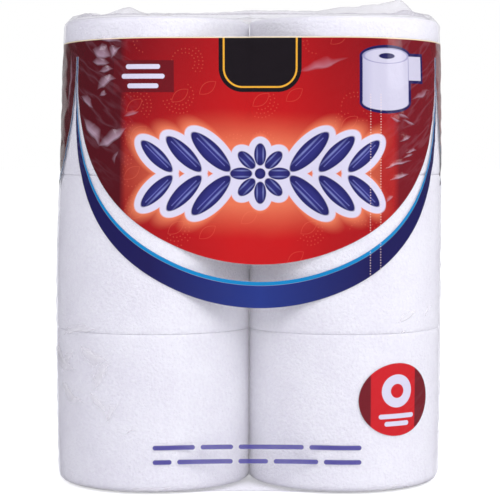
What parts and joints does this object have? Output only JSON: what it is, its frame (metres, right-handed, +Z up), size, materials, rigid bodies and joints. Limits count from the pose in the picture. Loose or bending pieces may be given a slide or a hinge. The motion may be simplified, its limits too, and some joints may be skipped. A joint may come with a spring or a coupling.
{
  "type": "toilet paper roll pack",
  "caption": "Film-wrapped pack of toilet paper rolls, stacked on end in two columns, with a printed field of colour hanging from its top and folded film ends.",
  "frame": {"origin": "centre of the flat folded film face that the pack stands on", "axes": "+Z up along the rolls' axes, the printed front faces -Y, +X to its right"},
  "size_m": [0.25, 0.1276, 0.312],
  "materials": {
    "clear_film": "clear glossy film",
    "tissue": "soft embossed tissue",
    "core_card": "plain wound card",
    "ink_red": "gloss print on film",
    "ink_maroon": "gloss print on film",
    "ink_sky": "gloss print on film",
    "ink_navy": "gloss print on film",
    "ink_white": "gloss print on film",
    "ink_black": "gloss print on film",
    "ink_gold": "gloss print on film"
  },
  "bodies": {
    "root": {"film_wrap": "clear_film", "roll_bottom_left": "tissue", "core_bottom_left": "core_card", "roll_middle_left": "tissue", "core_middle_left": "core_card", "roll_top_left": "tissue", "core_top_left": "core_card", "roll_bottom_right": "tissue", "core_bottom_right": "core_card", "roll_middle_right": "tissue", "core_middle_right": "core_card", "roll_top_right": "tissue", "core_top_right": "core_card", "ink_red": "ink_red", "ink_maroon": "ink_maroon", "ink_sky": "ink_sky", "ink_navy": "ink_navy", "ink_white": "ink_white", "ink_black": "ink_black", "ink_gold": "ink_gold"}
  },
  "joints": []
}
